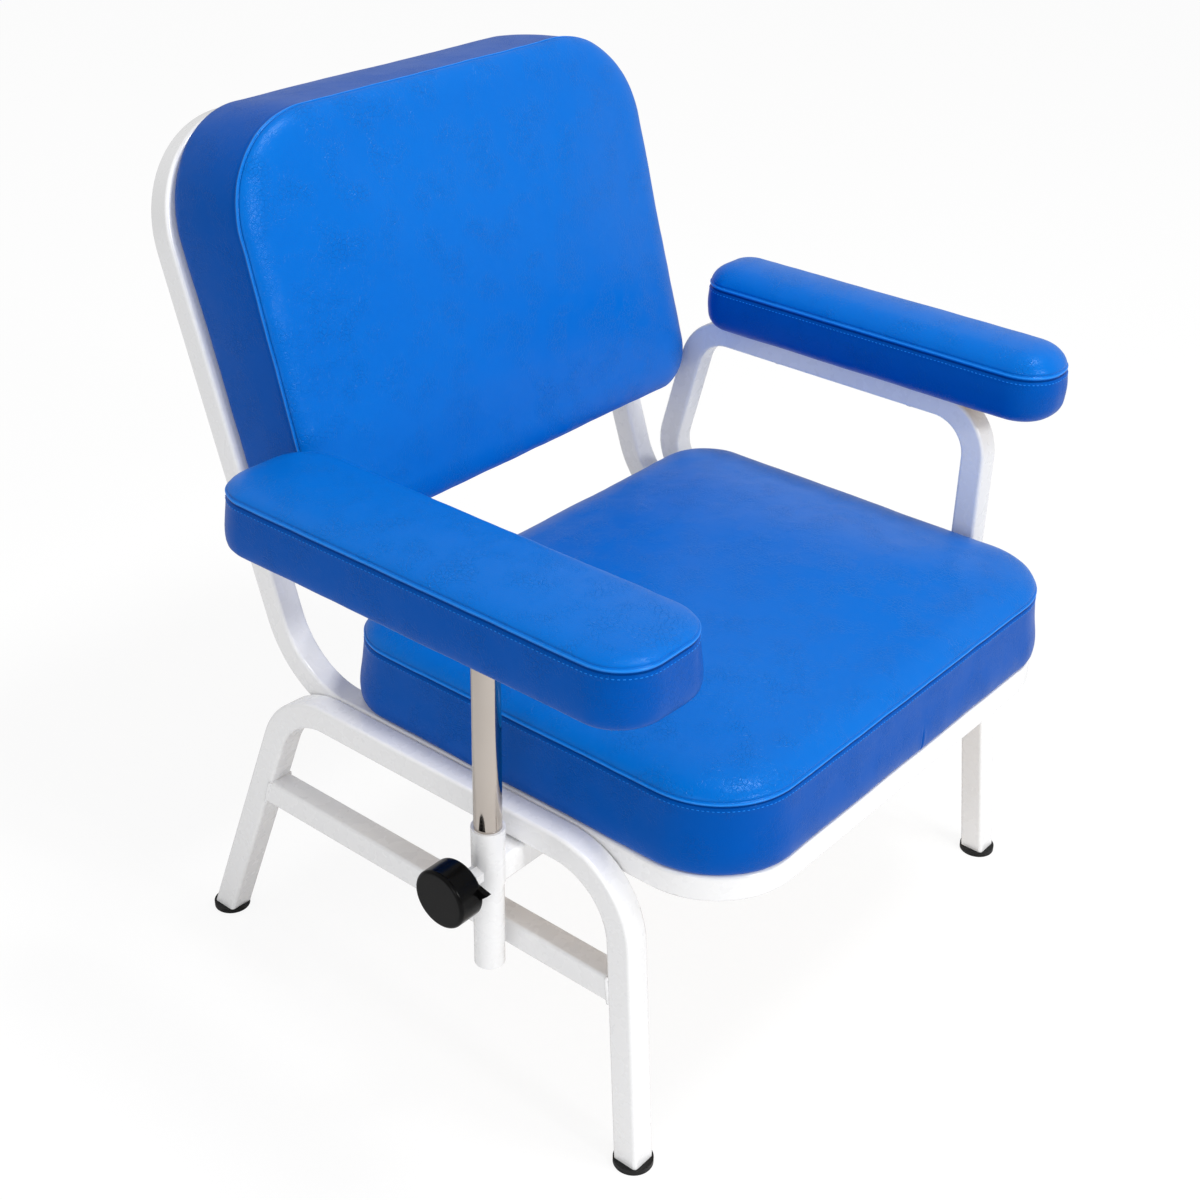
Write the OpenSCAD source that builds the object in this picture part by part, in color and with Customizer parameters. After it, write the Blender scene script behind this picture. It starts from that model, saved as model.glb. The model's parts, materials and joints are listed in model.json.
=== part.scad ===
// Phlebotomy chair: a bent square-tube frame with upholstered cushions, one fixed arm on the
// patient's left and one arm on the patient's right that slides and swivels on a clamped post.
// Millimetres. +Z is up, the chair faces -Y and +X is the patient's left.

/* [Frame tube] */
// outer width of the square frame tube
tube_w = 30; // [25:0.5:35]
// wall of the frame tube
tube_wall = 1.5; // [1.2:0.1:3]
// outer corner radius of the frame tube
tube_corner_r = 4; // [3:0.25:6]

/* [Seat frame] */
// outer width of the seat and back loop
loop_w = 638; // [560:1:700]
// height of the seat rails' centreline
rail_h = 345; // [310:1:380]
// centreline radius of the seat loop's front corners
seat_corner_r = 84; // [60:1:110]
// front rail's centreline to the corner of the back's centreline
seat_depth = 585; // [550:1:640]
// centreline radius of the bends from seat to back
recline_bend_r = 108; // [80:1:120]
// front rail's centreline to the rear cross rail's centreline
cross_rail_y = 430; // [380:1:460]

/* [Back frame] */
// lean of the back from upright
recline = 18.5; // [10:0.5:24]
// corner of the back's centreline to its top rail's centreline, along the back
back_l = 598; // [560:1:640]
// centreline radius of the back's top corners
back_corner_r = 110; // [80:1:140]

/* [Leg arches] */
// front rail's centreline to the arch's front corner
arch_front_y = 101; // [90:1:130]
// length of the arch's top rail between its centreline corners
arch_l = 469; // [420:1:500]
// centreline radius of the arch bends
arch_bend_r = 86; // [60:1:100]
// forward reach of the front foot
front_reach = 35; // [10:1:60]
// rearward reach of the rear foot
rear_reach = 126; // [90:1:150]
// outward lean of the arches
splay = 2.6; // [0:0.1:5]
// height of the lower rail's centreline
lower_rail_h = 212; // [150:1:240]

/* [Feet] */
// flange diameter of a foot
foot_d = 42.5; // [36:0.5:50]
// flange thickness of a foot
foot_t = 6; // [4:0.5:9]
// length of a foot's plug
foot_plug_l = 24; // [12:1:40]

/* [Fixed arm] */
// height of the arm's top rail centreline
arm_rail_h = 596; // [560:1:640]
// front rail's centreline to the arm's front leg centreline
arm_front_y = 129; // [110:1:160]
// length of the arm's top rail between its centreline corners
arm_rail_l = 397; // [360:1:430]
// lean of the arm's rear leg from upright
arm_lean = 14.5; // [8:0.5:20]
// centreline radius of the arm bends
arm_bend_r = 56; // [46:1:62]

/* [Arm lift] */
// outer diameter of the chromed post
post_d = 28.6; // [25:0.1:32]
// wall of the post
post_wall = 1.5; // [1.2:0.1:2.5]
// length of the post
post_l = 360; // [320:1:380]
// clear run of post between the collar and the arm's plate
post_show = 222; // [190:1:240]
// gap from the arch to the collar
collar_gap = 18; // [12:1:30]
// post's place behind the front rail's centreline
post_y = 233; // [215:1:260]
// wall of the guide tube
guide_wall = 1.4; // [1.2:0.1:2.5]
// length of the guide tube
guide_l = 169; // [140:1:190]
// wall of the collar around the guide tube
collar_wall = 1.4; // [1.2:0.1:3]
// length of the collar
collar_l = 66; // [50:1:80]
// height of the arm bracket's tube
bracket_w = 30; // [24:0.5:32]
// height of the clamp's screw above the collar's lower rim
clamp_up = 16.5; // [12:0.5:40]
// diameter of the clamp stud
stud_d = 10; // [8:1:12]
// width across the clamp nut's flats
nut_w = 17; // [15:0.5:19]
// thickness of the clamp nut
nut_t = 9; // [6:0.5:12]
// diameter of the clamp knob
knob_d = 63; // [55:1:75]
// depth of the clamp knob
knob_t = 31; // [25:1:36]
// post's centreline to the knob's outer face
knob_reach = 71; // [66:1:80]

/* [Seat cushion] */
// width of the seat cushion
seat_w = 632; // [560:1:690]
// depth of the seat cushion
seat_l = 530; // [480:1:540]
// height of the seat cushion's side band
seat_band = 82; // [60:1:100]
// rise of the seat cushion's crown above its seam
seat_crown = 38; // [10:1:45]
// corner radius at the seat cushion's front
seat_front_r = 94; // [70:1:130]
// corner radius at the seat cushion's rear
seat_rear_r = 72; // [40:1:90]
// bulge of a cushion's side band
side_bulge = 3; // [1:0.5:6]
// rolled lower edge of the seat and back cushions
edge_roll = 12; // [8:1:18]
// thickness of the seat and back boards
board_t = 15; // [12:1:18]

/* [Back cushion] */
// width of the back cushion
back_w = 625; // [560:1:660]
// height of the back cushion along the back
back_cushion_l = 452; // [420:1:480]
// corner of the back's centreline to the back cushion's lower edge
back_cushion_s = 160; // [140:1:180]
// depth of the back cushion's side band
back_band = 95; // [60:1:105]
// rise of the back cushion's crown in front of its seam
back_crown = 26; // [10:1:35]
// radius of the back cushion's upper corners
back_upper_r = 118; // [80:1:150]
// radius of the back cushion's lower corners
back_lower_r = 52; // [30:1:80]

/* [Arm pads] */
// width of the adjustable arm's pad
pad_w = 134; // [110:1:136]
// length of the adjustable arm's pad
pad_l = 530; // [460:1:540]
// pad's front end ahead of the post
pad_front = 221; // [180:1:240]
// corner radius of the adjustable arm's pad
pad_r = 50; // [35:1:58]
// height of the adjustable arm pad's side band
pad_band = 62; // [40:1:70]
// rise of the adjustable arm pad's crown
pad_crown = 13; // [6:1:20]
// rolled lower edge of the adjustable arm's pad
pad_roll = 12; // [8:1:18]
// width of the fixed arm's pad
fixed_pad_w = 96; // [70:1:104]
// length of the fixed arm's pad
fixed_pad_l = 466; // [420:1:490]
// front rail's centreline to the fixed pad's front end
fixed_pad_y = 39; // [20:1:60]
// corner radius of the fixed arm's pad
fixed_pad_r = 34; // [22:1:36]
// height of the fixed arm pad's side band
fixed_pad_band = 60; // [40:1:75]
// rise of the fixed arm pad's crown
fixed_pad_crown = 20; // [6:1:24]
// rolled lower edge of the fixed arm's pad
fixed_pad_roll = 20; // [12:1:22]
// thickness of the arm boards
arm_board_t = 12; // [9:1:15]
// thickness of the steel plate on the post
plate_t = 4; // [3:0.5:6]
// length of the steel plate on the post
plate_l = 110; // [90:1:130]
// width of the steel plate on the post
plate_w = 78; // [64:1:84]

/* [Fasteners] */
// shank diameter of the wood screws
screw_d = 6; // [5:0.5:7]
// head diameter of the wood screws
screw_head_d = 12; // [10:0.5:14]
// head height of the wood screws
screw_head_t = 3.5; // [2:0.5:5]
// thickness of the welded tabs
tab_t = 3; // [2:0.5:5]
// length of a welded tab along its tube
tab_l = 40; // [25:1:60]
// how far a tab reaches in past the tube and its board's edge
tab_reach = 32; // [24:1:45]

/* [Hidden] */
$fn = 96;
over = 1;
// gap that keeps a soft piece clear of what it lies against
soft_gap = 0.3;
// side room of a board in its cushion's recess
board_room = 0.8;
// radial play of the post in its guide, and of the stud in its nut
slide_play = 0.08;
stud_play = 0.06;
// radial room of a screw or stud in a drilled hole
hole_room = 0.4;
// gap from the clamp tip to the post when clamped
tip_gap = 0.1;
// smallest corner radius left where a profile steps in past a corner
least_r = 1;
// place of the welds between the fixed arm's two bows along its top rail
arm_weld_share = 0.5;
// segments in a cushion's plan corners and in its crown
corner_steps = 9;
crown_steps = 7;
// a cushion's crown rises over this share of its width
crown_run_share = 0.2;
// how far a side is out at each step up the band, as shares of the bulge
bulge_shares = [0.6, 0.9, 1, 0.7, 0];
// rolled lower edge: in from the side and up from below, as shares of the roll
roll_shares = [[0.65, 0], [0.2, 0.4]];
// the knob's screwed depth and its rounded rims, as shares of its depth
screw_share = 0.6;
knob_rim_share = 0.12;
// pointed lug on the knob's back rim: half width, reach, thickness and turn above the front
lug_w = 9;
lug_reach = 11;
lug_t = 6;
lug_turn = 15;
// end plug in the post
plug_flange_t = 3;
plug_l = 20;
// how much thinner the wall is in a bend, on each face, and how far a bend laps into a straight
bend_thin = 0.05;
bend_lap = 1;

half_tube = tube_w / 2;
inner_w = tube_w - 2 * tube_wall;
inner_corner_r = tube_corner_r - tube_wall;
loop_x = loop_w / 2 - half_tube;
rail_top = rail_h + half_tube;
// from a splayed tube's centreline to its outermost edge, sideways and up
arch_reach = tube_corner_r + (half_tube - tube_corner_r) * (cos(splay) + sin(splay));
arch_x = loop_w / 2 + arch_reach;
recline_turn = 90 - recline;
recline_cut = recline_bend_r * tan(recline_turn / 2);
arch_back_y = arch_front_y + arch_l;
arch_drop = rail_h / cos(splay);
front_lean = atan(front_reach / rail_h);
rear_lean = atan(rear_reach / rail_h);

bore_r = post_d / 2 + slide_play;
guide_d = 2 * bore_r + 2 * guide_wall;
collar_d = guide_d + 2 * collar_wall;
collar_x = -(loop_w / 2 + tube_w + collar_gap + collar_d / 2);
knob_back = knob_reach - knob_t;
// the tip stays inside the wall of the guide tube, just off the post
tip_t = guide_wall + collar_wall / 2;
tip_start = post_d / 2 + tip_gap;
stud_start = tip_start + tip_t + tip_gap;
collar_low = rail_h - arch_reach - bracket_w;
collar_top = collar_low + collar_l;
guide_low = collar_top - guide_l;
plate_low = collar_top + post_show;
pad_low = plate_low + plate_t;
post_low = plate_low - post_l;

seat_front_y = -half_tube + (loop_w - seat_w) / 2;
// wood left above a screw's tip, and from a board's edge to its cushion's rolled edge
board_skin = 4;
board_lip = 4;
fixed_arm_x = arch_x;
fixed_pad_low = arm_rail_h + half_tube;
base_rail_h = rail_h + arch_reach + half_tube;
arm_base_y = arm_front_y + arm_rail_l + (arm_rail_h - base_rail_h) * tan(arm_lean);

// outermost edges, so that the middle of the base is the origin
left_edge = min(collar_x - knob_reach, collar_x - pad_w / 2);
foot_x = arch_x + rail_h * tan(splay);
right_edge = max(foot_x + foot_d / 2, fixed_arm_x + fixed_pad_w / 2);
front_edge = -half_tube;
back_edge = seat_depth + back_l * sin(recline) + tube_corner_r
    + (half_tube - tube_corner_r) * (sin(recline) + cos(recline));
mid_x = (left_edge + right_edge) / 2;
mid_y = (front_edge + back_edge) / 2;

// square with round corners, made of plain squares and circles so that it stays exact
module round_square(w, r) {
    square([w, w - 2 * r], center = true);
    square([w - 2 * r, w], center = true);
    for (x = [-1, 1], y = [-1, 1])
        translate([x * (w / 2 - r), y * (w / 2 - r)])
            circle(r);
}

module tube_ring(w = tube_w, thin = 0) {
    difference() {
        round_square(w - 2 * thin, tube_corner_r - thin);
        round_square(w - 2 * tube_wall + 2 * thin, inner_corner_r + thin);
    }
}

// straight run of tube from the origin along +Z
module run(l, w = tube_w) {
    linear_extrude(height = l)
        tube_ring(w);
}

// bend from the origin along +Z, turning towards +X; laps run its ends into the straights
module bend(r, turn, laps = [bend_lap, bend_lap]) {
    lap_turn = laps / r * 180 / PI;
    translate([r, 0, 0])
        rotate([90, 0, 0])
            rotate([0, 0, 180 - turn - lap_turn[1]])
                rotate_extrude(angle = turn + lap_turn[0] + lap_turn[1])
                    translate([r, 0])
                        tube_ring(thin = bend_thin);
}

// length that a bend takes from each of the runs that meet at its corner
function cut(r, turn) = r * tan(turn / 2);

// steps: each is [run length, bend radius, turn], the bend always towards +X
module bent_tube(steps, i = 0) {
    l = steps[i][0];
    run(l);
    if (len(steps[i]) > 1)
        translate([0, 0, l]) {
            r = steps[i][1];
            turn = steps[i][2];
            bend(r, turn);
            if (i + 1 < len(steps))
                translate([r * (1 - cos(turn)), 0, r * sin(turn)])
                    rotate([0, turn, 0])
                        bent_tube(steps, i + 1);
        }
}

module painted() {
    color([0.93, 0.93, 0.94])
        children();
}

module vinyl() {
    color([0.02, 0.33, 0.8])
        children();
}

module bright() {
    color([0.8, 0.8, 0.82])
        children();
}

module black() {
    color([0.05, 0.05, 0.055])
        children();
}

module timber() {
    color([0.74, 0.6, 0.4])
        children();
}

// everything in the back's own plane: x across, z up the back, y behind it
module on_back() {
    translate([0, seat_depth, rail_h])
        rotate([-recline, 0, 0])
            children();
}

module seat_frame() {
    side = seat_depth - recline_cut - seat_corner_r;
    across = 2 * (loop_x - seat_corner_r);
    painted()
        translate([loop_x, seat_depth - recline_cut, rail_h])
            rotate([90, 0, 0])
                mirror([1, 0, 0])
                    bent_tube([[side, seat_corner_r, 90], [across, seat_corner_r, 90], [side]]);
}

module back_frame() {
    up = back_l - recline_cut - back_corner_r;
    across = 2 * (loop_x - back_corner_r);
    painted() {
        for (side = [-1, 1])
            translate([side * loop_x, seat_depth - recline_cut, rail_h])
                rotate([0, 0, 90])
                    rotate([0, 90, 0])
                        mirror([1, 0, 0])
                            bend(recline_bend_r, recline_turn, [0, bend_lap]);
        on_back()
            translate([-loop_x, 0, recline_cut])
                bent_tube([[up, back_corner_r, 90], [across, back_corner_r, 90], [up]]);
    }
}

// an arch in its own plane: y runs to the rear, z up, origin at the front corner
module arch_path() {
    front_turn = 90 - front_lean;
    rear_turn = 90 - rear_lean;
    front_l = arch_drop / cos(front_lean);
    rear_l = arch_drop / cos(rear_lean);
    top_l = arch_l - cut(arch_bend_r, front_turn) - cut(arch_bend_r, rear_turn);
    extra = tube_w;
    translate([0, -arch_drop * tan(front_lean), -arch_drop])
        rotate([-front_lean, 0, 0])
            translate([0, 0, -extra])
                rotate([0, 0, 90])
                    bent_tube([[front_l + extra - cut(arch_bend_r, front_turn), arch_bend_r, front_turn],
                        [top_l, arch_bend_r, rear_turn], [rear_l + extra - cut(arch_bend_r, rear_turn)]]);
}

// places what belongs to the arch on one side: 1 is the patient's left, -1 the right
module at_arch(side) {
    translate([side * arch_x, arch_front_y, rail_h])
        rotate([0, -side * splay, 0])
            children();
}

module leg_arch(side) {
    painted()
        difference() {
            at_arch(side)
                arch_path();
            slab(-rail_h, foot_t);
        }
}

// everything under and around the chair between two heights
module slab(low, high) {
    translate([-loop_w, -seat_depth, low])
        cube([2 * loop_w, 3 * seat_depth, high - low]);
}

module lower_rail(side) {
    drop = (rail_h - lower_rail_h) / cos(splay);
    front = -drop * tan(front_lean) + half_tube / cos(front_lean);
    rear = arch_l + drop * tan(rear_lean) - half_tube / cos(rear_lean);
    reach = half_tube;
    painted()
        difference() {
            at_arch(side)
                translate([0, front - reach, -drop])
                    rotate([-90, 0, 0])
                        run(rear - front + 2 * reach);
            at_arch(side)
                leg_blocks();
        }
}

// solid bars where the legs are, so that the lower rail ends on their faces
module leg_blocks() {
    for (leg = [[0, -front_lean], [arch_l, rear_lean]])
        translate([0, leg[0], 0])
            rotate([leg[1], 0, 0])
                translate([-tube_w, -half_tube, -2 * rail_h])
                    cube([2 * tube_w, tube_w, 2 * rail_h]);
}

module rear_cross_rail() {
    painted()
        translate([-loop_w / 2 + tube_w, cross_rail_y, rail_h])
            rotate([0, 90, 0])
                run(loop_w - 2 * tube_w);
}

// distance from the middle of the chair to the free end of a tab under a board's edge
function tab_end(sizes) = min(loop_w / 2 - tube_w, sizes[0] / 2 - board_inset(sizes)) - tab_reach;

// places a child on each tab's free end: x runs out to the tube, y along it
module at_seat_tabs() {
    for (side = [-1, 1], y = [seat_corner_r + tab_l, cross_rail_y - 2 * tab_l])
        translate([side * tab_end(seat_sizes), y, rail_top])
            scale([side, 1, 1])
                children();
}

module at_back_tabs() {
    low = back_cushion_s + back_lower_r + tab_l;
    high = back_cushion_s + back_cushion_l - back_upper_r - tab_l;
    on_back()
        for (side = [-1, 1], s = [low, high])
            translate([side * tab_end(back_sizes), -half_tube, s])
                rotate([90, 0, 0])
                    scale([side, 1, 1])
                        children();
}

module tab(sizes) {
    difference() {
        translate([0, -tab_l / 2, -tab_t])
            cube([loop_w / 2 - tube_w - tab_end(sizes), tab_l, tab_t]);
        translate([tab_reach / 2, 0, -tab_t - over])
            cylinder(h = tab_t + 2 * over, r = screw_d / 2 + hole_room);
    }
}

module seat_tabs() {
    painted()
        at_seat_tabs()
            tab(seat_sizes);
}

module back_tabs() {
    painted()
        at_back_tabs()
            tab(back_sizes);
}

// screw with its head's seat at z = 0 and its shank along +Z
module screw(l) {
    translate([0, 0, -screw_head_t])
        cylinder(h = screw_head_t, r = screw_head_d / 2);
    cylinder(h = l, r = screw_d / 2);
}

module tab_screw() {
    translate([tab_reach / 2, 0, -tab_t])
        screw(tab_t + board_t - board_skin);
}

module tab_screw_hole() {
    translate([tab_reach / 2, 0, -over])
        cylinder(h = board_t - board_skin + over, r = screw_d / 2);
}

module seat_screws() {
    bright()
        at_seat_tabs()
            tab_screw();
}

module back_screws() {
    bright()
        at_back_tabs()
            tab_screw();
}

// the fixed arm's whole loop: its base rail lies on the leg arch's top rail
module fixed_arm_loop() {
    height = arm_rail_h - base_rail_h;
    lean_l = height / cos(arm_lean);
    square_cut = cut(arm_bend_r, 90);
    top_cut = cut(arm_bend_r, 90 - arm_lean);
    low_cut = cut(arm_bend_r, 90 + arm_lean);
    base_l = arm_base_y - arm_front_y;
    steps = [[base_l - square_cut - low_cut, arm_bend_r, 90 + arm_lean],
        [lean_l - low_cut - top_cut, arm_bend_r, 90 - arm_lean],
        [arm_rail_l - top_cut - square_cut, arm_bend_r, 90],
        [height - 2 * square_cut, arm_bend_r, 90]];
    difference() {
        translate([fixed_arm_x, arm_front_y + square_cut, base_rail_h])
            rotate([-90, -90, 0])
                bent_tube(steps);
        at_fixed_arm_screws()
            translate([0, 0, -over])
                cylinder(h = tube_w + 2 * over, r = screw_d / 2 + hole_room);
    }
}

// one of the two bows that are butt-welded into the loop: side is -1 in front, 1 behind
module fixed_arm_bow(side) {
    painted()
        intersection() {
            fixed_arm_loop();
            translate([0, arm_front_y + arm_rail_l * arm_weld_share, 0])
                scale([1, side, 1])
                    cube([loop_w, 2 * seat_depth, 2 * arm_rail_h]);
        }
}

// spaced over the stretch of the arm's top rail that its pad covers
module at_fixed_arm_screws() {
    front = max(arm_front_y, fixed_pad_y);
    rear = min(arm_front_y + arm_rail_l, fixed_pad_y + fixed_pad_l);
    room = (rear - front) / 4;
    for (y = [front + room, rear - room])
        translate([fixed_arm_x, y, arm_rail_h - half_tube])
            children();
}

module left_arm_screws() {
    bright()
        at_fixed_arm_screws()
            screw(tube_w + arm_board_t - board_skin);
}

module at_clamp() {
    translate([collar_x, post_y, collar_low + clamp_up])
        rotate([0, -90, 0])
            children();
}

module arm_bracket() {
    painted()
        difference() {
            translate([collar_x, post_y, collar_low + bracket_w / 2])
                rotate([0, 90, 0])
                    run(-loop_w / 2 - collar_x, bracket_w);
            translate([collar_x, post_y, collar_low - over])
                cylinder(h = collar_l + 2 * over, r = collar_d / 2);
        }
}

module round_tube(d, wall, l) {
    difference() {
        cylinder(h = l, r = d / 2);
        translate([0, 0, -over])
            cylinder(h = l + 2 * over, r = d / 2 - wall);
    }
}

module clamp_collar() {
    painted()
        difference() {
            translate([collar_x, post_y, collar_low])
                round_tube(collar_d, collar_wall, collar_l);
            stud_hole();
        }
}

module guide_tube() {
    painted()
        difference() {
            translate([collar_x, post_y, guide_low])
                round_tube(guide_d, guide_wall, guide_l);
            stud_hole();
        }
}

module stud_hole() {
    at_clamp()
        cylinder(h = collar_d, r = stud_d / 2 + hole_room);
}

module clamp_nut() {
    painted()
        difference() {
            at_clamp()
                translate([0, 0, collar_d / 2 - collar_wall])
                    cylinder(h = nut_t + collar_wall, d = nut_w / cos(30), $fn = 6);
            at_clamp()
                cylinder(h = collar_d, r = stud_d / 2 + stud_play);
            translate([collar_x, post_y, collar_low])
                cylinder(h = collar_l, r = collar_d / 2);
        }
}

module clamp_tip() {
    black()
        at_clamp()
            translate([0, 0, tip_start])
                cylinder(h = tip_t, r = stud_d / 2 - stud_play);
}

module clamp_stud() {
    bright()
        at_clamp()
            translate([0, 0, stud_start])
                cylinder(h = knob_back + knob_t * screw_share - stud_start, r = stud_d / 2);
}

// knob: a plain drum with rounded rims and one pointed lug
module clamp_knob() {
    black()
        at_clamp()
            difference() {
                union() {
                    rotate_extrude()
                        translate([0, knob_back])
                            knob_outline();
                    translate([0, 0, knob_back])
                        lug();
                }
                cylinder(h = knob_back + knob_t * screw_share, r = stud_d / 2);
            }
}

module knob_outline() {
    rim = knob_t * knob_rim_share;
    square([knob_d / 2 - rim, knob_t]);
    translate([0, rim])
        square([knob_d / 2, knob_t - 2 * rim]);
    for (z = [rim, knob_t - rim])
        translate([knob_d / 2 - rim, z])
            circle(rim);
}

// pointed lug in the plane of the knob's back, towards the front
module lug() {
    rotate([0, 0, lug_turn - 90])
        linear_extrude(height = lug_t)
            polygon([[knob_d / 2 - lug_t, -lug_w], [knob_d / 2 + lug_reach, 0],
                [knob_d / 2 - lug_t, lug_w]]);
}

module post_end_plug() {
    plug_r = post_d / 2 - post_wall - slide_play;
    black()
        translate([collar_x, post_y, post_low]) {
            translate([0, 0, -plug_flange_t - soft_gap])
                cylinder(h = plug_flange_t, r = post_d / 2);
            translate([0, 0, -soft_gap - over])
                cylinder(h = plug_l + over, r = plug_r);
        }
}

module arm_post() {
    bright()
        translate([collar_x, post_y, post_low])
            round_tube(post_d, post_wall, post_l);
}

module at_arm_screws() {
    for (x = [-1, 1], y = [-1, 1])
        translate([collar_x + x * (plate_w / 2 - screw_head_d), post_y + y * (plate_l / 2 - screw_head_d),
                plate_low])
            children();
}

module arm_plate() {
    bright()
        difference() {
            translate([collar_x - plate_w / 2, post_y - plate_l / 2, plate_low])
                cube([plate_w, plate_l, plate_t]);
            at_arm_screws()
                translate([0, 0, -over])
                    cylinder(h = plate_t + 2 * over, r = screw_d / 2 + hole_room);
        }
}

module right_arm_screws() {
    bright()
        at_arm_screws()
            screw(plate_t + arm_board_t - board_skin);
}

// each cushion's width, length, front and rear corner radius, side band, crown, rolled lower
// edge and board thickness
seat_sizes = [seat_w, seat_l, seat_front_r, seat_rear_r, seat_band, seat_crown, edge_roll, board_t];
back_sizes = [back_w, back_cushion_l, back_lower_r, back_upper_r, back_band, back_crown, edge_roll,
    board_t];
pad_sizes = [pad_w, pad_l, pad_r, pad_r, pad_band, pad_crown, pad_roll, arm_board_t];
fixed_pad_sizes = [fixed_pad_w, fixed_pad_l, fixed_pad_r, fixed_pad_r, fixed_pad_band,
    fixed_pad_crown, fixed_pad_roll, arm_board_t];

function board_inset(sizes) = sizes[6] + board_lip;

// points of a rectangle with round corners, counter-clockwise from the front right corner;
// its front edge is on the x axis, and inset draws every side in
function outline(sizes, inset, z) =
    let (w = sizes[0] / 2 - inset, l = sizes[1] - inset)
    let (fr = max(sizes[2] - inset, least_r), rr = max(sizes[3] - inset, least_r))
    let (corners = [[w - fr, inset + fr, fr, -90], [w - rr, l - rr, rr, 0],
        [rr - w, l - rr, rr, 90], [fr - w, inset + fr, fr, 180]])
    [for (c = corners, i = [0 : corner_steps]) let (a = c[3] + 90 * i / corner_steps)
        [c[0] + c[2] * cos(a), c[1] + c[2] * sin(a), z]];

// flat board with round corners, drawn in from its cushion's sides
module board(sizes) {
    inset = board_inset(sizes);
    w = sizes[0] / 2 - inset;
    l = sizes[1] - inset;
    linear_extrude(height = sizes[7])
        difference() {
            translate([-w, inset])
                square([2 * w, l - inset]);
            for (x = [-1, 1]) {
                corner_off([x * w, inset], [-x, 1], max(sizes[2] - inset, least_r));
                corner_off([x * w, l], [-x, -1], max(sizes[3] - inset, least_r));
            }
        }
}

// what rounding a square corner takes away; inwards points to the middle of the board
module corner_off(corner, inwards, r) {
    translate(corner)
        scale(inwards)
            difference() {
                translate([-over, -over])
                    square(r + over);
                translate([r, r])
                    circle(r);
            }
}

// closed cushion: rolled lower edge, bulging side band, seam, crown, and a recess for its board
module cushion(sizes) {
    band = sizes[4];
    crown = sizes[5];
    roll = sizes[6];
    thick = sizes[7];
    recess = board_inset(sizes) - board_room;
    run = sizes[0] * crown_run_share;
    lower = [[recess, thick], [recess, soft_gap],
        for (r = roll_shares) [roll * r[0], soft_gap + roll * r[1]]];
    steps = len(bulge_shares);
    side = [for (i = [0 : steps - 1])
        [side_bulge * (1 - bulge_shares[i]), roll + (band - roll) * (i + 1) / steps]];
    dome = [for (i = [1 : crown_steps]) let (a = 90 * i / crown_steps)
        [side_bulge + run * (1 - cos(a)), band + crown * sin(a)]];
    rings = concat(lower, side, dome);
    n = 4 * (corner_steps + 1);
    top = n * len(rings);
    points = [for (r = rings) each outline(sizes, r[0], r[1])];
    middle = [[0, sizes[1] / 2, band + crown], [0, sizes[1] / 2, thick]];
    faces = concat(
        [for (i = [0 : len(rings) - 2], j = [0 : n - 1]) let (k = (j + 1) % n)
            each [[i * n + j, (i + 1) * n + j, (i + 1) * n + k], [i * n + j, (i + 1) * n + k, i * n + k]]],
        [for (j = [0 : n - 1]) [top - n + j, top, top - n + (j + 1) % n]],
        [for (j = [0 : n - 1]) [(j + 1) % n, top + 1, j]]);
    polyhedron(concat(points, middle), faces);
}

module at_seat_cushion() {
    translate([0, seat_front_y, rail_top])
        children();
}

// back cushion's own space: x across, y up the back, z towards the patient
module at_back_cushion() {
    on_back()
        translate([0, -half_tube, back_cushion_s])
            rotate([90, 0, 0])
                children();
}

module at_right_arm_pad() {
    translate([collar_x, post_y - pad_front, pad_low])
        children();
}

module at_left_arm_pad() {
    translate([fixed_arm_x, fixed_pad_y, fixed_pad_low])
        children();
}

module seat_board() {
    timber()
        difference() {
            at_seat_cushion()
                board(seat_sizes);
            at_seat_tabs()
                tab_screw_hole();
        }
}

module back_board() {
    timber()
        difference() {
            at_back_cushion()
                board(back_sizes);
            at_back_tabs()
                tab_screw_hole();
        }
}

module right_arm_board() {
    timber()
        difference() {
            at_right_arm_pad()
                board(pad_sizes);
            at_arm_screws()
                cylinder(h = plate_t + arm_board_t - board_skin, r = screw_d / 2);
        }
}

module left_arm_board() {
    timber()
        difference() {
            at_left_arm_pad()
                board(fixed_pad_sizes);
            at_fixed_arm_screws()
                cylinder(h = tube_w + arm_board_t - board_skin, r = screw_d / 2);
        }
}

module seat_cushion() {
    vinyl()
        at_seat_cushion()
            cushion(seat_sizes);
}

module back_cushion() {
    vinyl()
        at_back_cushion()
            cushion(back_sizes);
}

module right_arm_pad() {
    vinyl()
        at_right_arm_pad()
            cushion(pad_sizes);
}

module left_arm_pad() {
    vinyl()
        at_left_arm_pad()
            cushion(fixed_pad_sizes);
}

// a foot's flange lies flat on the floor; its plug follows the leg
module foot(side, rear) {
    lean = rear ? rear_lean : -front_lean;
    along = rear ? arch_l : 0;
    black() {
        intersection() {
            at_arch(side)
                translate([0, along, 0])
                    rotate([lean, 0, 0])
                        translate([0, 0, -2 * rail_h])
                            linear_extrude(height = 2 * rail_h)
                                round_square(inner_w - 2 * slide_play, inner_corner_r);
            slab(foot_t / 2, foot_t + foot_plug_l);
        }
        translate([side * foot_x, arch_front_y + (rear ? arch_l + rear_reach : -front_reach), 0])
            cylinder(h = foot_t, r = foot_d / 2);
    }
}

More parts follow.
